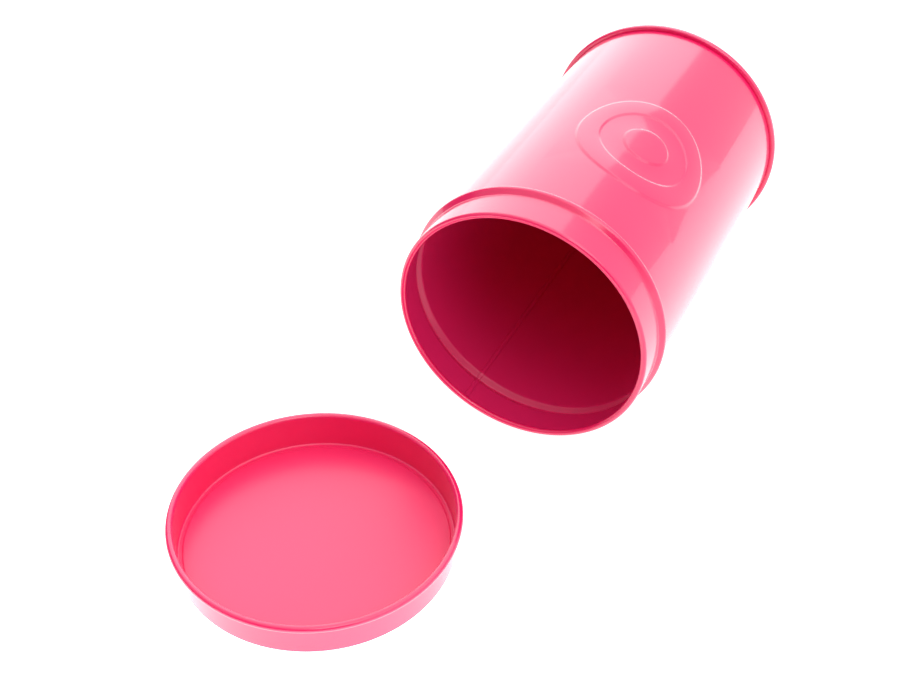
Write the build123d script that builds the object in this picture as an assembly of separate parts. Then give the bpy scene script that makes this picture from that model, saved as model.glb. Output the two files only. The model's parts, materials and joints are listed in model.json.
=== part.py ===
from build123d import *
import os
from math import cos, degrees, radians, tan

# Round slip-lid tin canister, lying on its side, with its lid upside down on the same floor.
# Frame: millimetres, +Z up, floor at Z = 0, origin under the middle of the whole arrangement.
# The can's axis runs along +Y, from the mouth to the base. The lid's axis is vertical.

# Sheet metal
BODY_SHEET = 0.30          # tinplate of the rolled body and of the lid
END_SHEET = 0.35           # tinplate of the base

# Can body
CAN_RADIUS = 40.0          # outside of the neck and of the wall
CAN_LENGTH = 127.0         # mouth plane to the outermost face of the base seam
MOUTH_CURL_RADIUS = 0.95   # the mouth's edge is rolled inward into a tube of this outer radius
BEAD_CENTRE = 12.9         # distance from the mouth to the crest of the lid-stop bead
BEAD_HEIGHT = 1.5          # bead and base seam stand out by the same amount, so the can lies level
BEAD_SLOPE = 45.0          # flank angle of the bead, from the can's axis
BEAD_CREST_FILLET = 1.2
BEAD_FOOT_FILLET = 0.8
CURL_TURN = 290.0          # how far a rolled edge goes round, in degrees

# Lapped and welded side seam, on the inside of the wall
SEAM_ANGLE = -117.3        # from +X towards +Z, looking along the can from the mouth
SEAM_WIDTH = 1.4

# Double seam that holds the base, rolled nearly round
BASE_SEAM_HEIGHT = 2.6
BASE_SEAM_ROUND = 1.2      # between the seam's end and its outer face
BASE_CHUCK_ROUND = 0.9     # between the seam's end and the countersunk wall
BASE_FLANK_ROUND = 0.94    # between the seam's outer face and its flank
BASE_TUCK_ROUND = 0.38     # where the flank turns in along the wall
BASE_PANEL_DEPTH = 4.2     # recess of the base panel below the seam's end
BASE_PANEL_STEP = 0.6      # shallow stiffening step in the base panel
BASE_STEP_RADIUS = 33.0
BASE_PANEL_ROUND = 1.0
BODY_HOOK = 0.7
COVER_HOOK = 1.4
HOOK_PLAY = 0.1            # play between the body hook's bend and the roof of the seam

# Embossed round medallion on the wall: a plain raised ring round a plain raised disc
MEDALLION_ANGLE = 66.3
MEDALLION_CENTRE = 57.0    # distance from the mouth plane
MEDALLION_RELIEF = 0.35
MEDALLION_RING = (15.0, 22.0)
MEDALLION_DISC = 7.5

# Lid
LID_PLAY = 0.30            # radial play between the lid's skirt and the neck
LID_HEIGHT = 12.0
LID_CURL_RADIUS = 1.06
LID_CORNER = 0.9
LID_PANEL_STEP = 0.2       # the middle of the panel is pressed in by this much
LID_STEP_RADIUS = 38.8
LID_STEP_ROUND = 0.3
LID_FROM_MOUTH = (-32.4, -67.0)  # lid's centre, sideways and forward of the mouth's centre

# Worked out from the sizes above
RIM_RADIUS = CAN_RADIUS + BEAD_HEIGHT
LID_INNER_RADIUS = CAN_RADIUS + LID_PLAY
LID_RIM_RADIUS = LID_INNER_RADIUS + 2 * LID_CURL_RADIUS
SEAM_GAP = (BEAD_HEIGHT - 2 * END_SHEET - BODY_SHEET) / 3
ARRANGEMENT_X = (LID_FROM_MOUTH[0] - LID_RIM_RADIUS, RIM_RADIUS)
ARRANGEMENT_Y = (LID_FROM_MOUTH[1] - LID_RIM_RADIUS, CAN_LENGTH)
MOUTH_X = -sum(ARRANGEMENT_X) / 2
MOUTH_Y = -sum(ARRANGEMENT_Y) / 2
CAN_PLACE = Location((MOUTH_X, MOUTH_Y, RIM_RADIUS))
LID_PLACE = Location((MOUTH_X + LID_FROM_MOUTH[0], MOUTH_Y + LID_FROM_MOUTH[1], 0), (90, 0, 0))


def sheet(path, thickness, side):
    """Section of sheet metal that lies on one side of an open path."""
    return make_face(offset(path, amount=thickness, side=side, closed=True))


def turned(section, turn=360.0):
    """Solid of revolution of a section drawn as radius along X and length along Y."""
    return revolve(section, Axis.Y, turn)


def around_can(shape, angle):
    """Turn a shape about the can's axis, from the +X side to an angle towards +Z."""
    return shape.rotate(Axis.Y, -angle)


def bead_points():
    """Corners of the bead's outline before its rounds, in radius and length."""
    sharp_height = BEAD_HEIGHT + BEAD_CREST_FILLET * (1 / cos(radians(BEAD_SLOPE)) - 1)
    half_width = sharp_height / tan(radians(BEAD_SLOPE))
    return [
        (CAN_RADIUS, BEAD_CENTRE - half_width),
        (CAN_RADIUS + sharp_height, BEAD_CENTRE),
        (CAN_RADIUS, BEAD_CENTRE + half_width),
    ]


def wall_path(start, end):
    """Outer outline of the wall with its bead, between two distances from the mouth."""
    fillets = [BEAD_FOOT_FILLET, BEAD_CREST_FILLET, BEAD_FOOT_FILLET]
    return FilletPolyline((CAN_RADIUS, start), *bead_points(), (CAN_RADIUS, end), radius=fillets)


def body_path():
    """Outer outline of the whole rolled body, from the mouth curl's edge to the body hook's edge."""
    curl_centre = (CAN_RADIUS - MOUTH_CURL_RADIUS, MOUTH_CURL_RADIUS)
    curl = CenterArc(curl_centre, MOUTH_CURL_RADIUS, -CURL_TURN, CURL_TURN)
    bend = (SEAM_GAP * 2 + END_SHEET) / 2
    bend_start = CAN_LENGTH - END_SHEET - HOOK_PLAY - BODY_SHEET - bend
    wall = wall_path(MOUTH_CURL_RADIUS, bend_start)
    hook_bend = CenterArc((CAN_RADIUS + bend, bend_start), bend, 180, -180)
    hook_radius = CAN_RADIUS + 2 * bend
    hook = Line((hook_radius, bend_start), (hook_radius, bend_start - BODY_HOOK))
    return curl + wall + hook_bend + hook


def medallion_zone(inner_radius, outer_radius, inset):
    """Volumes that stand over the medallion's raised areas, drawn smaller by an inset."""
    ring_low, ring_high = MEDALLION_RING
    disc = Circle(MEDALLION_DISC - inset)
    ring = Circle(ring_high - inset) - Circle(ring_low + inset)
    column = extrude(Plane.YZ.offset(CAN_RADIUS / 2) * (disc + ring), CAN_RADIUS)
    tube = Cylinder(outer_radius, CAN_LENGTH) - Cylinder(inner_radius, CAN_LENGTH)
    zone = column & tube.rotate(Axis.X, 90)
    return around_can(zone, MEDALLION_ANGLE).translate((0, MEDALLION_CENTRE, 0))


def side_seam():
    """Strip where the blank's edges overlap: the wall is two sheets thick, on the inside."""
    lap_start = 2 * MOUTH_CURL_RADIUS + BODY_SHEET
    lap_end = CAN_LENGTH - BASE_PANEL_DEPTH - 2 * END_SHEET
    double_wall = sheet(wall_path(lap_start, lap_end), 2 * BODY_SHEET, Side.LEFT)
    width = degrees(SEAM_WIDTH / CAN_RADIUS)
    return around_can(turned(double_wall, width), SEAM_ANGLE + width / 2)


def body_shell():
    """Rolled body: mouth curl, neck, bead, wall, hook, side seam and embossed medallion."""
    shell = turned(sheet(body_path(), BODY_SHEET, Side.LEFT))
    inner = CAN_RADIUS - BODY_SHEET
    raised = medallion_zone(inner + MEDALLION_RELIEF / 2, CAN_RADIUS + MEDALLION_RELIEF, 0)
    pressed = medallion_zone(inner / 2, inner + MEDALLION_RELIEF, BODY_SHEET)
    return shell + raised - pressed + side_seam()


def base_end():
    """Base: stepped panel, countersunk wall, and the outer layers of the double seam."""
    chuck_radius = CAN_RADIUS - BODY_SHEET - END_SHEET
    panel_level = CAN_LENGTH - BASE_PANEL_DEPTH
    middle_level = panel_level + BASE_PANEL_STEP
    tuck_radius = CAN_RADIUS + SEAM_GAP
    tuck_level = CAN_LENGTH - BASE_SEAM_HEIGHT
    panel_rounds = [BASE_PANEL_ROUND] * 3
    seam_rounds = [BASE_CHUCK_ROUND, BASE_SEAM_ROUND, BASE_FLANK_ROUND, BASE_TUCK_ROUND]
    path = FilletPolyline(
        (0, middle_level),
        (BASE_STEP_RADIUS - 2 * BASE_PANEL_STEP, middle_level),
        (BASE_STEP_RADIUS, panel_level),
        (chuck_radius, panel_level),
        (chuck_radius, CAN_LENGTH),
        (RIM_RADIUS, CAN_LENGTH),
        (RIM_RADIUS, tuck_level),
        (tuck_radius, tuck_level),
        (tuck_radius, tuck_level + COVER_HOOK),
        radius=panel_rounds + seam_rounds,
    )
    return turned(sheet(path, END_SHEET, Side.RIGHT))


def lid():
    """Drawn lid: pressed panel, skirt, and the rim rolled outward. Its closed face is at Y = 0."""
    step_foot = LID_STEP_RADIUS - LID_PANEL_STEP
    inside = FilletPolyline(
        (0, LID_PANEL_STEP + BODY_SHEET),
        (step_foot, LID_PANEL_STEP + BODY_SHEET),
        (LID_STEP_RADIUS, BODY_SHEET),
        (LID_INNER_RADIUS, BODY_SHEET),
        (LID_INNER_RADIUS, LID_HEIGHT - LID_CURL_RADIUS),
        radius=[LID_STEP_ROUND, LID_STEP_ROUND, LID_CORNER - BODY_SHEET],
    )
    curl_centre = (LID_INNER_RADIUS + LID_CURL_RADIUS, LID_HEIGHT - LID_CURL_RADIUS)
    curl = CenterArc(curl_centre, LID_CURL_RADIUS, 180, -CURL_TURN)
    return turned(sheet(inside + curl, BODY_SHEET, Side.RIGHT))


PARTS = {
    "body_shell": body_shell().moved(CAN_PLACE),
    "base_end": base_end().moved(CAN_PLACE),
    "lid": lid().moved(LID_PLACE),
}

os.makedirs("parts", exist_ok=True)
for name, solid in PARTS.items():
    export_step(solid, f"parts/{name}.step")
    box = solid.bounding_box()
    print(name, "solids", len(solid.solids()), "volume", round(solid.volume, 1), box.min, box.max)
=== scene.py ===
"""Looks of a round slip-lid tin canister: the can lies on its side, its lid lies upside down in front of it.

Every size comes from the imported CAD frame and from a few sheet-metal dimensions named below. All lengths are
in metres. The can's axis runs along +Y from its mouth to its base, and the lid's axis is vertical. Angles
round the can are right-handed about +Y and start at +X.
"""

import json
import logging
from collections.abc import Callable, Sequence
from dataclasses import dataclass, field
from math import cos, dist, hypot, pi, radians, sin, tan

import bmesh
import bpy
from mathutils import Matrix, Vector


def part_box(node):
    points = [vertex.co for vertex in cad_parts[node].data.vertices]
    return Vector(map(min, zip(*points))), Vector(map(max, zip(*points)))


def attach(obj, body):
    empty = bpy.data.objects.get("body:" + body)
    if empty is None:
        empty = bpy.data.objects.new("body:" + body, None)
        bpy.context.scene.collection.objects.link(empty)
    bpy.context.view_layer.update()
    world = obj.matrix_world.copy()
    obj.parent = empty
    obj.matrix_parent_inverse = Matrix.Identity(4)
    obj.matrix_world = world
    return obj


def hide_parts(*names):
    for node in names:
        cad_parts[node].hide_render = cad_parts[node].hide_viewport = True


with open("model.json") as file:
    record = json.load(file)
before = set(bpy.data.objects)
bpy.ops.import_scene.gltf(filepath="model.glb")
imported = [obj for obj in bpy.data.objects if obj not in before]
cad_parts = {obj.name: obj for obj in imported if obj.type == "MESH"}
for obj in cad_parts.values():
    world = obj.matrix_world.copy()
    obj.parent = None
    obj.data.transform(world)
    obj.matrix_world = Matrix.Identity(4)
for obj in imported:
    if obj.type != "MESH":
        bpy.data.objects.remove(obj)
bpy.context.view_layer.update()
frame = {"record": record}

MM = 0.001
WHITE = (1.0, 1.0, 1.0, 1.0)
SAME_POINT = 1e-7          # points closer than this are one point
FULL_TURN_SLACK = 1e-6     # a turn this close to a whole circle is closed, in radians
log = logging.getLogger("canister")

Point = tuple[float, float]


def mount(name: str) -> dict:
    """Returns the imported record's mount of that name."""
    return next(m for m in frame["record"]["mounts"] if m["name"] == name)


@dataclass(frozen=True)
class CanSize:
    """Place and size of the can, read from the frame."""

    axis_x: float
    axis_z: float
    mouth_y: float
    length: float
    radius: float
    rim_radius: float

    @classmethod
    def from_frame(cls) -> "CanSize":
        """Reads the can's axis, ends and radii from its CAD nodes and its neck mount.

        Returns:
            The can's size in the row frame.
        """
        neck = mount("neck")
        shell_low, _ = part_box("body_shell")
        base_low, base_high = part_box("base_end")
        return cls(
            axis_x=neck["pos_m"][0],
            axis_z=neck["pos_m"][2],
            mouth_y=shell_low.y,
            length=base_high.y - shell_low.y,
            radius=neck["dims"]["r_mm"] * MM,
            rim_radius=(base_high.z - base_low.z) / 2,
        )

    def place(self) -> Matrix:
        """Returns the matrix that takes a shape turned about Z, its start at Z = 0, to the can's axis."""
        return Matrix.Translation((self.axis_x, self.mouth_y, self.axis_z)) @ Matrix.Rotation(-pi / 2, 4, "X")


@dataclass(frozen=True)
class LidSize:
    """Place and size of the lid, read from the frame."""

    centre_x: float
    centre_y: float
    height: float
    inner_radius: float
    rim_radius: float

    @classmethod
    def from_frame(cls) -> "LidSize":
        """Reads the lid's centre, height and radii from its CAD node and its socket mount.

        Returns:
            The lid's size in the row frame.
        """
        socket = mount("lid_socket")
        low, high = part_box("lid")
        return cls(
            centre_x=socket["pos_m"][0],
            centre_y=socket["pos_m"][1],
            height=high.z - low.z,
            inner_radius=socket["dims"]["r_mm"] * MM,
            rim_radius=(high.y - low.y) / 2,
        )

    def place(self) -> Matrix:
        """Returns the matrix that takes a shape turned about Z to the lid's place on the floor."""
        return Matrix.Translation((self.centre_x, self.centre_y, 0.0))


class Outline:
    """A path of radius and height, drawn with straight runs, rounded corners and arcs."""

    HOLD = 0.12 * MM
    ARC_STEP = radians(11)
    SHORTEST_HELD = 4 * HOLD

    def __init__(self) -> None:
        """Starts an empty path."""
        self.points: list[Point] = []

    def add(self, point: Point) -> "Outline":
        """Adds one point, unless the path already ends there."""
        if not self.points or dist(point, self.points[-1]) > SAME_POINT:
            self.points.append(point)
        return self

    def arc(self, centre: Point, radius: float, start: float, turn: float) -> "Outline":
        """Adds an arc.

        Args:
            centre: The arc's centre.
            radius: The arc's radius.
            start: The start angle in degrees, from the radius axis.
            turn: The angle that the arc turns through, in degrees, positive anticlockwise.

        Returns:
            The outline itself.
        """
        steps = max(2, round(abs(radians(turn)) / self.ARC_STEP))
        for step in range(steps + 1):
            angle = radians(start + turn * step / steps)
            self.add((centre[0] + radius * cos(angle), centre[1] + radius * sin(angle)))
        return self

    def run(self, corners: Sequence[Point], rounds: Sequence[float]) -> "Outline":
        """Adds straight runs whose inner corners are rounded.

        Each end of a straight run gets a holding point close to it, so that smooth shading stays in the
        rounds.

        Args:
            corners: The first point, the sharp corners and the last point.
            rounds: The radius of each inner corner.

        Returns:
            The outline itself.
        """
        ends = [Vector(corners[0])]
        arcs: list[list[Vector]] = []
        for before, corner, after, radius in zip(corners, corners[1:], corners[2:], rounds):
            back = (Vector(before) - Vector(corner)).normalized()
            ahead = (Vector(after) - Vector(corner)).normalized()
            half = back.angle(ahead) / 2
            centre = Vector(corner) + (back + ahead).normalized() * (radius / sin(half))
            first = Vector(corner) + back * (radius / tan(half))
            last = Vector(corner) + ahead * (radius / tan(half))
            sweep = (first - centre).angle_signed(last - centre)
            steps = max(2, round(abs(sweep) / self.ARC_STEP))
            spoke = first - centre
            arcs.append([centre + Matrix.Rotation(-sweep * k / steps, 2) @ spoke for k in range(steps + 1)])
            ends += [first, last]
        ends.append(Vector(corners[-1]))
        for index in range(0, len(ends), 2):
            start, end = ends[index], ends[index + 1]
            self.add(tuple(start))
            along = end - start
            if along.length > self.SHORTEST_HELD:
                self.add(tuple(start + along.normalized() * self.HOLD))
                self.add(tuple(end - along.normalized() * self.HOLD))
            self.add(tuple(end))
            for point in arcs[index // 2] if index // 2 < len(arcs) else []:
                self.add(tuple(point))
        return self


def turned_sheet(outline: Outline, steps: int, turn: float = 2 * pi, start: float = 0.0) -> bmesh.types.BMesh:
    """Turns an outline about Z into a single skin. look_along() then sets which way it faces.

    Args:
        outline: The path of radius and height.
        steps: The number of faces round the turn.
        turn: The angle to turn through, in radians.
        start: The angle of the first copy, in radians from +X.

    Returns:
        The skin. The caller frees it or hands it to a piece.
    """
    bm = bmesh.new()
    east, north = cos(start), sin(start)
    verts = [bm.verts.new((radius * east, radius * north, height)) for radius, height in outline.points]
    edges = [bm.edges.new(pair) for pair in zip(verts, verts[1:])]
    full = abs(turn - 2 * pi) < FULL_TURN_SLACK
    bmesh.ops.spin(
        bm, geom=verts + edges, cent=(0, 0, 0), axis=(0, 0, 1), dvec=(0, 0, 0), angle=turn, steps=steps,
        use_merge=full, use_duplicate=False,
    )
    bmesh.ops.remove_doubles(bm, verts=bm.verts, dist=SAME_POINT)
    return bm


def make_piece(
    name: str, bm: bmesh.types.BMesh, body: str, node: str, finishes: list[bpy.types.Material], place: Matrix
) -> bpy.types.Object:
    """Makes an object at the origin from a bmesh, rides it on a body and says which node it stands for.

    Args:
        name: The object's name.
        bm: The shape, about its own axis. It is freed.
        body: The CAD body that the piece moves with.
        node: The CAD node that the piece stands for.
        finishes: The skin's material, then the one of the metal's other side.
        place: The matrix that takes the shape to its place in the row frame.

    Returns:
        The new object.
    """
    bmesh.ops.transform(bm, matrix=place, verts=bm.verts)
    for face in bm.faces:
        face.smooth = True
    mesh = bpy.data.meshes.new(name)
    bm.to_mesh(mesh)
    bm.free()
    for finish in finishes:
        mesh.materials.append(finish)
    piece = bpy.data.objects.new(name, mesh)
    bpy.context.scene.collection.objects.link(piece)
    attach(piece, body)
    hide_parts(node)
    log.info("%s: %d faces, rides on %s, stands for %s", name, len(mesh.polygons), body, node)
    return piece


def thicken(piece: bpy.types.Object, thickness: float) -> None:
    """Gives a single skin its metal thickness, on the side away from its normals, with a live modifier."""
    modifier = piece.modifiers.new("sheet", "SOLIDIFY")
    modifier.thickness = thickness
    modifier.offset = -1.0
    modifier.material_offset = 1
    modifier.material_offset_rim = 1
    modifier.use_even_offset = True
    modifier.use_rim = True


def look_along(bm: bmesh.types.BMesh, chooser: Callable[[bmesh.types.BMFace], float]) -> None:
    """Turns all faces consistently, so that the face a chooser ranks highest looks outward.

    Args:
        bm: The skin to turn.
        chooser: Ranks a face; the highest one is known to look away from the Z axis.
    """
    bmesh.ops.recalc_face_normals(bm, faces=bm.faces)
    face = max(bm.faces, key=chooser)
    centre = face.calc_center_median()
    if face.normal.x * centre.x + face.normal.y * centre.y < 0:
        bmesh.ops.reverse_faces(bm, faces=bm.faces)


class Socket:
    """A shader socket or number that can be used in Python expressions."""

    def __init__(self, graph: "Graph", value: "bpy.types.NodeSocket | float") -> None:
        """Keeps the graph and the socket or number."""
        self.graph = graph
        self.value = value

    def _math(self, operation: str, *others: "Socket | float") -> "Socket":
        """Adds a Math node.

        Args:
            operation: The Math node's operation.
            others: The other operands.

        Returns:
            The node's result.
        """
        operands = dict(enumerate([self, *others]))
        return self.graph.node("ShaderNodeMath", {"operation": operation}, operands)

    def __add__(self, other: "Socket | float") -> "Socket":
        """Adds two values."""
        return self._math("ADD", other)

    __radd__ = __add__

    def __mul__(self, other: "Socket | float") -> "Socket":
        """Multiplies two values."""
        return self._math("MULTIPLY", other)

    __rmul__ = __mul__

    def arcsine(self) -> "Socket":
        """Returns the angle whose sine is this value, in radians."""
        return self._math("ARCSINE")

    def angle_over(self, other: "Socket") -> "Socket":
        """Returns the angle of this value over another, in radians."""
        return self._math("ARCTAN2", other)

    def ramp(self, low: float, high: float, start: float = 0.0, end: float = 1.0) -> "Socket":
        """Maps a range of the value smoothly and clamps it.

        Args:
            low: The value that gives start.
            high: The value that gives end.
            start: The result at low.
            end: The result at high.

        Returns:
            The mapped value.
        """
        inputs = {"Value": self, "From Min": low, "From Max": high, "To Min": start, "To Max": end}
        return self.graph.node("ShaderNodeMapRange", {"interpolation_type": "SMOOTHSTEP"}, inputs)


class Graph:
    """Builds the nodes of one material or of the world."""

    def __init__(self, owner: "bpy.types.Material | bpy.types.World") -> None:
        """Empties the owner's node tree, ready to be filled."""
        owner.use_nodes = True
        self.owner = owner
        self.tree = owner.node_tree
        self.tree.nodes.clear()

    def node(
        self, kind: str, settings: dict | None = None, inputs: dict | None = None, output: "str | int" = 0
    ) -> Socket:
        """Adds any node: its settings first, then the values or links of its sockets.

        Args:
            kind: The node's type.
            settings: Attributes of the node.
            inputs: Socket names or numbers, each with a number, a colour, a vector or a Socket.
            output: The name or number of the output to return.

        Returns:
            The chosen output.
        """
        node = self.tree.nodes.new(kind)
        for key, value in (settings or {}).items():
            setattr(node, key, value)
        for key, value in (inputs or {}).items():
            value = value.value if isinstance(value, Socket) else value
            if isinstance(value, bpy.types.NodeSocket):
                self.tree.links.new(value, node.inputs[key])
            else:
                node.inputs[key].default_value = value
        return Socket(self, node.outputs[output] if node.outputs else 0.0)

    def position(self) -> Socket:
        """Returns the object coordinates, which are the row frame in metres."""
        return self.node("ShaderNodeTexCoord", output="Object")

    def split(self, vector: Socket) -> tuple[Socket, Socket, Socket]:
        """Splits a vector into its three parts."""
        first = self.node("ShaderNodeSeparateXYZ", inputs={0: vector})
        outputs = first.value.node.outputs
        return first, Socket(self, outputs[1]), Socket(self, outputs[2])

    def noise(self, where: Socket, size: float, detail: float) -> Socket:
        """Adds fractal noise.

        Args:
            where: The coordinates.
            size: The width of its largest blobs, in metres.
            detail: The number of finer layers.

        Returns:
            A value about 0.5.
        """
        inputs = {"Vector": where, "Scale": 1 / size, "Detail": detail}
        return self.node("ShaderNodeTexNoise", {"noise_dimensions": "3D"}, inputs)

    def mix(self, factor: "Socket | float", first: "Socket | tuple", second: "Socket | tuple") -> Socket:
        """Mixes two colours.

        Args:
            factor: 0 gives the first colour and 1 the second.
            first: A colour or a link.
            second: A colour or a link.

        Returns:
            The mixed colour.
        """
        settings = {"data_type": "RGBA", "blend_type": "MIX"}
        return self.node("ShaderNodeMix", settings, {0: factor, 6: first, 7: second}, output=2)

    def output(self, shader: Socket) -> "bpy.types.Material | bpy.types.World":
        """Links a shader to the owner's output and returns the owner."""
        is_world = isinstance(self.owner, bpy.types.World)
        kind = "ShaderNodeOutputWorld" if is_world else "ShaderNodeOutputMaterial"
        self.node(kind, inputs={"Surface": shader})
        return self.owner


@dataclass(frozen=True)
class PinkLacquer:
    """Pink stoving lacquer over tinplate. The defaults are the glossy outside coat."""

    name: str = "pink_gloss"
    colour: tuple[float, float, float, float] = (0.93, 0.010, 0.130, 1.0)
    deep_colour: tuple[float, float, float, float] = (0.92, 0.009, 0.122, 1.0)
    roughness: float = 0.30
    coat: float = 1.0
    coat_roughness: float = 0.06
    ior: float = 1.5
    mottle_size: float = 34 * MM
    mottle_detail: float = 3.0
    mottle_range: tuple[float, float] = (0.35, 0.65)
    mottle_strength: float = 0.6
    wave_size: float = 22 * MM
    wave_depth: float = 0.02 * MM

    @classmethod
    def can_inside(cls) -> "PinkLacquer":
        """Returns the thin satin coat inside the can, its pink darker than the outside coat's as painted shade
        inside the can.
        """
        return cls(
            name="pink_satin_painted_shade",
            # Satin roughness and a thinner coat are the real finish; the darker colour and deep colour are
            # painted shade for the can's hollow inside.
            colour=(0.76, 0.010, 0.130, 1.0),
            deep_colour=(0.75, 0.009, 0.124, 1.0),
            roughness=0.50,
            coat=0.40,
            coat_roughness=0.32,
        )

    @classmethod
    def lid_inside(cls) -> "PinkLacquer":
        """Returns the satin coat inside the lid."""
        return cls(name="pink_satin", roughness=0.50, coat_roughness=0.30)

    def material(self) -> bpy.types.Material:
        """Builds the finish.

        Returns:
            The material.
        """
        graph = Graph(bpy.data.materials.new(self.name))
        where = graph.position()
        mottle = graph.noise(where, self.mottle_size, self.mottle_detail).ramp(*self.mottle_range)
        wave = graph.noise(where, self.wave_size, detail=0.0)
        colour = graph.mix(mottle * self.mottle_strength, self.colour, self.deep_colour)
        ripple = {"Strength": 1.0, "Distance": self.wave_depth, "Height": wave}
        bump = graph.node("ShaderNodeBump", None, ripple)
        inputs = {
            "Base Color": colour,
            "Roughness": self.roughness,
            "IOR": self.ior,
            "Coat Weight": self.coat,
            "Coat Roughness": self.coat_roughness,
            "Coat IOR": self.ior,
            "Normal": bump,
        }
        return graph.output(graph.node("ShaderNodeBsdfPrincipled", None, inputs))


class Lacquers:
    """The finishes of the canister's sheet metal."""

    def __init__(self) -> None:
        """Builds the finishes."""
        self.outside = PinkLacquer().material()
        self.can_inside = PinkLacquer.can_inside().material()
        self.lid_inside = PinkLacquer.lid_inside().material()

    def can(self) -> list[bpy.types.Material]:
        """Returns the finishes of a skin that is the can's outside."""
        return [self.outside, self.can_inside]

    def lid(self) -> list[bpy.types.Material]:
        """Returns the finishes of a skin that is the lid's inside."""
        return [self.lid_inside, self.outside]


@dataclass(frozen=True)
class Medallion:
    """Embossed plain medallion: a raised ring round a raised disc, with soft shoulders."""

    angle: float = radians(-66.3)
    centre: float = 57.0 * MM
    relief: float = 0.35 * MM
    disc: float = 7.5 * MM
    ring_inner: float = 15.0 * MM
    ring_outer: float = 22.0 * MM
    shoulder: float = 1.2 * MM
    shoulder_steps: int = 8
    disc_steps: int = 4
    cells: int = 46

    def lift(self, distance: float) -> float:
        """Returns how far the sheet stands out at a distance from the medallion's centre."""
        def past(edge: float) -> float:
            """Goes smoothly from 0 to 1 across a shoulder centred on an edge."""
            share = min(max((distance - edge) / self.shoulder + 0.5, 0.0), 1.0)
            return share * share * (3 - 2 * share)

        raised = 1 - past(self.disc) + past(self.ring_inner) - past(self.ring_outer)
        return self.relief * raised

    def ring_radii(self) -> list[float]:
        """Returns the radii of the patch's rings: close across each shoulder, wide on the flats."""
        radii = [self.disc * k / self.disc_steps for k in range(1, self.disc_steps)]
        for edge in (self.disc, self.ring_inner, self.ring_outer):
            shares = [k / self.shoulder_steps - 0.5 for k in range(self.shoulder_steps + 1)]
            radii += [edge + self.shoulder * share for share in shares]
        radii += [(self.disc + self.ring_inner) / 2, (self.ring_inner + self.ring_outer) / 2]
        return sorted(radii)


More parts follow.
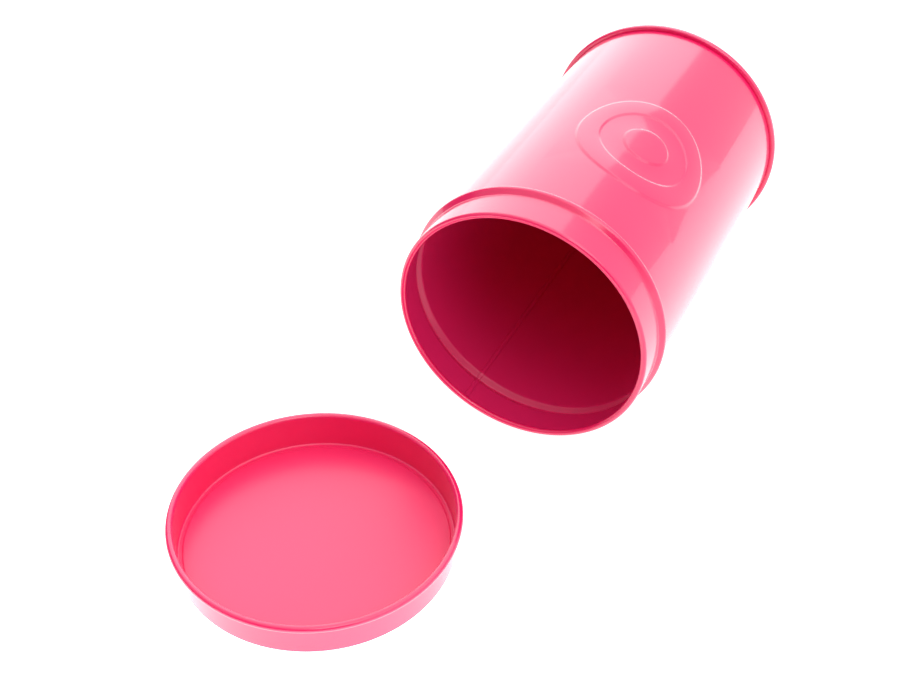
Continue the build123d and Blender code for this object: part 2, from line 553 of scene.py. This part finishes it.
@dataclass
class CanBody:
    """The rolled body: mouth curl, neck, bead, embossed wall and side seam."""

    size: CanSize
    lacquers: Lacquers
    medallion: Medallion = field(default_factory=Medallion)
    sheet: float = 0.30 * MM
    curl_radius: float = 0.95 * MM
    curl_turn: float = 290.0
    bead_centre: float = 12.9 * MM
    bead_slope: float = radians(45)
    bead_crest: float = 1.2 * MM
    bead_foot: float = 0.8 * MM
    seam_angle: float = radians(117.3)
    seam_width: float = 1.4 * MM
    seam_inset: float = 0.27 * MM
    seam_steps: int = 4
    wall_end: float = 1.1 * MM
    weld_distance: float = 0.02 * MM
    outermost_share: float = 0.999
    steps: int = 240

    def wall(self, start: float, end: float, inset: float = 0.0) -> Outline:
        """Draws the wall with its bead between two distances from the mouth.

        Args:
            start: The first distance from the mouth.
            end: The last distance from the mouth.
            inset: How far inside the outer surface the outline runs.

        Returns:
            The outline.
        """
        height = self.size.rim_radius - self.size.radius + self.bead_crest * (1 / cos(self.bead_slope) - 1)
        half = height / tan(self.bead_slope)
        slant = inset * tan(self.bead_slope / 2)
        radius = self.size.radius - inset
        crest = radius + height - inset * (1 / cos(self.bead_slope) - 1)
        corners = [
            (radius, start),
            (radius, self.bead_centre - half + slant),
            (crest, self.bead_centre),
            (radius, self.bead_centre + half - slant),
            (radius, end),
        ]
        foot = self.bead_foot + inset
        return Outline().run(corners, [foot, self.bead_crest - inset, foot])

    def shell_outline(self) -> Outline:
        """Draws the outer surface from the mouth curl's edge to the base seam.

        Returns:
            The outline, with a row at each cell of the medallion's patch.
        """
        centre = (self.size.radius - self.curl_radius, self.curl_radius)
        outline = Outline().arc(centre, self.curl_radius, -self.curl_turn, self.curl_turn)
        wall = self.wall(self.curl_radius, self.size.length - self.wall_end)
        cells, cell = self.medallion.cells, self.cell()
        rows = [(self.size.radius, self.medallion.centre + cell * (k - cells / 2)) for k in range(cells + 1)]
        for point in sorted(wall.points + rows, key=lambda point: point[1]):
            outline.add(point)
        return outline

    def cell(self) -> float:
        """Returns the length of one face round the wall, which is also the patch's cell."""
        return self.size.radius * 2 * pi / self.steps

    def patch(self) -> bmesh.types.BMesh:
        """Makes the embossed patch: rings about the medallion's centre that end in a square of wall cells.

        Returns:
            The patch, wrapped on the wall.
        """
        medallion = self.medallion
        cells = medallion.cells
        half = self.cell() * cells / 2
        bm = bmesh.new()
        outer = medallion.ring_outer + medallion.shoulder
        spokes = [bm.verts.new((radius, 0, 0)) for radius in (0.0, *medallion.ring_radii(), outer, half)]
        edges = [bm.edges.new(pair) for pair in zip(spokes, spokes[1:])]
        bmesh.ops.spin(
            bm, geom=spokes + edges, cent=(0, 0, 0), axis=(0, 0, 1), dvec=(0, 0, 0), angle=2 * pi,
            steps=4 * cells, use_merge=True, use_duplicate=False,
        )
        bmesh.ops.remove_doubles(bm, verts=bm.verts, dist=SAME_POINT)
        for vert in bm.verts:
            distance = hypot(vert.co.x, vert.co.y)
            lift = medallion.lift(distance)
            if distance > half * self.outermost_share:
                share = Vector((1, 0)).angle_signed(vert.co.xy, 0.0) / (-2 * pi)
                turn = round(share * 4 * cells) % (4 * cells)
                vert.co.xy = self.square_point(turn, half)
            angle = medallion.angle + vert.co.x / self.size.radius
            radius = self.size.radius + lift
            vert.co = (radius * cos(angle), radius * sin(angle), medallion.centre + vert.co.y)
        return bm

    def square_point(self, turn: int, half: float) -> Vector:
        """Returns the point of the square's edge that a spoke ends at.

        Args:
            turn: The spoke's number, counted from the middle of the +X side.
            half: Half of the square's side.

        Returns:
            The point, on a cell corner.
        """
        cells = self.medallion.cells
        step = 2 * half / cells
        side, along = divmod(turn + cells // 2, cells)
        corner = Vector((half, -half + along * step))
        return Matrix.Rotation(side * pi / 2, 2) @ corner

    def shell(self) -> bmesh.types.BMesh:
        """Makes the whole shell's outer skin, with the patch welded into a square hole of the wall.

        Returns:
            The skin.
        """
        medallion = self.medallion
        bm = turned_sheet(self.shell_outline(), self.steps, start=medallion.angle)
        half = self.cell() * medallion.cells / 2
        middle = Matrix.Rotation(-medallion.angle, 3, "Z")
        inside = []
        for face in bm.faces:
            centre = middle @ face.calc_center_median()
            across = abs(Vector((1, 0)).angle_signed(centre.xy, 0.0)) * self.size.radius
            if across < half and abs(centre.z - medallion.centre) < half:
                inside.append(face)
        bmesh.ops.delete(bm, geom=inside, context="FACES")
        mesh = bpy.data.meshes.new("patch")
        patch = self.patch()
        patch.to_mesh(mesh)
        patch.free()
        bm.from_mesh(mesh)
        bpy.data.meshes.remove(mesh)
        bmesh.ops.remove_doubles(bm, verts=bm.verts, dist=self.weld_distance)
        look_along(bm, lambda face: face.calc_center_median().xy.length)
        return bm

    def side_seam(self) -> bmesh.types.BMesh:
        """Makes the lapped edge of the blank: a second layer of sheet just inside the wall.

        Returns:
            The strip's outer skin, which build() thickens.
        """
        turn = self.seam_width / self.size.radius
        start = 2 * self.curl_radius + self.sheet
        outline = self.wall(start, self.size.length - self.wall_end, inset=self.seam_inset)
        bm = turned_sheet(outline, self.seam_steps, turn=turn, start=self.seam_angle - turn / 2)
        look_along(bm, lambda face: face.calc_center_median().xy.length)
        return bm

    def build(self) -> None:
        """Makes the shell and the seam strip."""
        place = self.size.place()
        shell = make_piece("can_shell", self.shell(), "can", "body_shell", self.lacquers.can(), place)
        thicken(shell, self.sheet)
        seam = make_piece("side_seam", self.side_seam(), "can", "body_shell", self.lacquers.can(), place)
        thicken(seam, self.sheet)


@dataclass
class CanBase:
    """The drawn base: stepped panel, countersunk wall and the outer layers of the double seam."""

    size: CanSize
    lacquers: Lacquers
    sheet: float = 0.35 * MM
    body_sheet: float = 0.30 * MM
    panel_depth: float = 4.2 * MM
    panel_step: float = 0.6 * MM
    step_radius: float = 33.0 * MM
    panel_round: float = 1.0 * MM
    seam_height: float = 2.6 * MM
    chuck_round: float = 0.9 * MM
    seam_round: float = 1.2 * MM
    flank_round: float = 0.94 * MM
    tuck_round: float = 0.10 * MM
    tuck: float = 0.8 * MM
    seam_gap: float = 0.02 * MM
    steps: int = 240

    def outline(self) -> Outline:
        """Draws the surface that looks out of the can, from the panel's middle round the seam.

        Returns:
            The outline.
        """
        end = self.size.length
        chuck = self.size.radius - self.body_sheet - self.sheet
        panel = end - self.panel_depth
        middle = panel + self.panel_step
        inner = self.size.radius + self.seam_gap
        bottom = end - self.seam_height
        corners = [
            (0.0, middle),
            (self.step_radius - 2 * self.panel_step, middle),
            (self.step_radius, panel),
            (chuck, panel),
            (chuck, end),
            (self.size.rim_radius, end),
            (self.size.rim_radius, bottom),
            (inner, bottom),
            (inner, bottom + self.tuck),
        ]
        seam_rounds = [self.chuck_round, self.seam_round, self.flank_round, self.tuck_round]
        return Outline().run(corners, [self.panel_round] * 3 + seam_rounds)

    def build(self) -> None:
        """Makes the base."""
        bm = turned_sheet(self.outline(), self.steps)
        look_along(bm, lambda face: face.calc_center_median().xy.length)
        base = make_piece("can_base", bm, "can", "base_end", self.lacquers.can(), self.size.place())
        thicken(base, self.sheet)


@dataclass
class SlipLid:
    """The lid, open side up: pressed panel, skirt and outward rim curl."""

    size: LidSize
    lacquers: Lacquers
    sheet: float = 0.30 * MM
    corner: float = 0.9 * MM
    panel_step: float = 0.2 * MM
    step_radius: float = 38.8 * MM
    step_round: float = 0.3 * MM
    curl_turn: float = 290.0
    steps: int = 240

    def outline(self) -> Outline:
        """Draws the surface inside the lid, from the panel's middle over the rim to the curl's edge.

        Returns:
            The outline.
        """
        curl = (self.size.rim_radius - self.size.inner_radius) / 2
        inner = self.size.inner_radius
        corners = [
            (0.0, self.panel_step + self.sheet),
            (self.step_radius - self.panel_step, self.panel_step + self.sheet),
            (self.step_radius, self.sheet),
            (inner, self.sheet),
            (inner, self.size.height - curl),
        ]
        outline = Outline().run(corners, [self.step_round, self.step_round, self.corner - self.sheet])
        return outline.arc((inner + curl, self.size.height - curl), curl, 180, -self.curl_turn)

    def build(self) -> None:
        """Makes the lid, with the outside coat from the rim curl outward."""
        bm = turned_sheet(self.outline(), self.steps)
        look_along(bm, lambda face: face.calc_center_median().xy.length)
        rim_start = self.size.inner_radius + self.sheet
        for face in bm.faces:
            face.material_index = int(face.calc_center_median().xy.length > rim_start)
        lid = make_piece("slip_lid", bm, "lid", "lid", self.lacquers.lid(), self.size.place())
        thicken(lid, self.sheet)


@dataclass(frozen=True)
class LightBank:
    """A soft zone of the studio's surround. Azimuth is clockwise from +Y, and all angles are in degrees."""

    azimuth: tuple[float, float]
    elevation: tuple[float, float]
    radiance: float
    azimuth_edge: tuple[float, float] = (12.0, 12.0)
    elevation_edge: tuple[float, float] = (8.0, 8.0)

    def shine(self, azimuth: Socket, elevation: Socket) -> Socket:
        """Returns the zone's radiance in a direction.

        Args:
            azimuth: The direction's azimuth in radians.
            elevation: The direction's elevation in radians.

        Returns:
            The radiance, fading out across each edge.
        """
        total: Socket | float = self.radiance
        for angle, (low, high), edges in (
            (azimuth, self.azimuth, self.azimuth_edge),
            (elevation, self.elevation, self.elevation_edge),
        ):
            rise = angle.ramp(radians(low - edges[0] / 2), radians(low + edges[0] / 2))
            fall = angle.ramp(radians(high - edges[1] / 2), radians(high + edges[1] / 2), 1.0, 0.0)
            total = rise * fall * total
        return total


@dataclass
class Studio:
    """White floor, soft light banks and the camera."""

    floor_size: float = 8.0
    floor_glow: float = 0.95
    patch_glow: float = 1.8
    patch_centre: tuple[float, float, float] = (-0.035, -0.165, 0.0)
    patch_fade: tuple[float, float] = (0.075, 0.16)
    floor_shade: float = 0.42
    floor_roughness: float = 0.6
    dimmest: float = 0.06
    target: tuple[float, float, float] = (-0.0111, 0.0017, 0.020)
    azimuth: float = 26.34
    elevation: float = 39.37
    distance: float = 0.4419
    lens: float = 55.4
    clip_start: float = 0.01
    banks: tuple[LightBank, ...] = (
        LightBank((-66.0, 5.0), (-5.0, 42.0), 2.1, azimuth_edge=(16.0, 4.0)),
        LightBank((5.0, 62.0), (-5.0, 42.0), 0.85, azimuth_edge=(4.0, 40.0)),
        LightBank((62.0, 125.0), (-5.0, 42.0), 1.1, azimuth_edge=(20.0, 20.0)),
        LightBank((-80.0, 118.0), (42.0, 68.0), 2.0, azimuth_edge=(30.0, 14.0)),
        LightBank((118.0, 158.0), (42.0, 68.0), 3.2, azimuth_edge=(14.0, 14.0)),
        LightBank((158.0, 200.0), (40.0, 68.0), 0.8, azimuth_edge=(14.0, 14.0)),
        LightBank((-200.0, -80.0), (40.0, 68.0), 0.8, azimuth_edge=(30.0, 30.0)),
        LightBank((-200.0, 200.0), (68.0, 100.0), 1.5),
        LightBank((-150.0, -95.0), (22.0, 40.0), 0.6),
    )

    def floor(self) -> None:
        """Makes the white floor, which glows evenly and more strongly in a patch before the lid."""
        bm = bmesh.new()
        bmesh.ops.create_grid(bm, x_segments=1, y_segments=1, size=self.floor_size / 2)
        mesh = bpy.data.meshes.new("floor")
        bm.to_mesh(mesh)
        bm.free()
        graph = Graph(bpy.data.materials.new("white_floor"))
        ends = {0: graph.position(), 1: self.patch_centre}
        offset = graph.node("ShaderNodeVectorMath", {"operation": "DISTANCE"}, ends, output="Value")
        share = self.floor_glow / self.patch_glow
        glow = graph.mix(offset.ramp(*self.patch_fade), WHITE, (share, share, share, 1.0))
        inputs = {
            "Base Color": (self.floor_shade, self.floor_shade, self.floor_shade, 1.0),
            "Roughness": self.floor_roughness,
            "Emission Color": glow,
            "Emission Strength": self.patch_glow,
        }
        mesh.materials.append(graph.output(graph.node("ShaderNodeBsdfPrincipled", None, inputs)))
        floor = bpy.data.objects.new("floor", mesh)
        bpy.context.scene.collection.objects.link(floor)

    def surround(self) -> None:
        """Lights the scene from the banks, which are all white and far away."""
        graph = Graph(bpy.data.worlds.new("studio"))
        right, ahead, up = graph.split(graph.node("ShaderNodeTexCoord", output="Generated"))
        azimuth, elevation = right.angle_over(ahead), up.arcsine()
        radiance = sum((bank.shine(azimuth, elevation) for bank in self.banks), self.dimmest)
        light = {"Color": WHITE, "Strength": radiance}
        bpy.context.scene.world = graph.output(graph.node("ShaderNodeBackground", inputs=light))

    def camera(self) -> None:
        """Makes the camera, looking down at the arrangement from its right front."""
        azimuth, elevation = radians(self.azimuth), radians(self.elevation)
        back = Vector((sin(azimuth) * cos(elevation), -cos(azimuth) * cos(elevation), sin(elevation)))
        data = bpy.data.cameras.new("camera")
        data.lens = self.lens
        data.clip_start = self.clip_start
        camera = bpy.data.objects.new("camera", data)
        place = Matrix.Translation(Vector(self.target) + back * self.distance)
        camera.matrix_world = place @ back.to_track_quat("Z", "Y").to_matrix().to_4x4()
        bpy.context.scene.collection.objects.link(camera)
        bpy.context.scene.camera = camera

    def build(self) -> None:
        """Makes the whole studio and sets how brightness is shown."""
        self.camera()
        self.floor()
        self.surround()
        view = bpy.context.scene.view_settings
        view.view_transform = "Standard"
        view.look = "None"
        log.info("studio: %d light banks, lens %.1f mm", len(self.banks), self.lens)


def main() -> None:
    """Builds the studio and the three sheet-metal parts."""
    logging.basicConfig(level=logging.INFO, format="%(name)s %(message)s")
    Studio().build()
    can, lid = CanSize.from_frame(), LidSize.from_frame()
    lacquers = Lacquers()
    CanBody(can, lacquers).build()
    CanBase(can, lacquers).build()
    SlipLid(lid, lacquers).build()


if __name__ == "__main__":
    main()
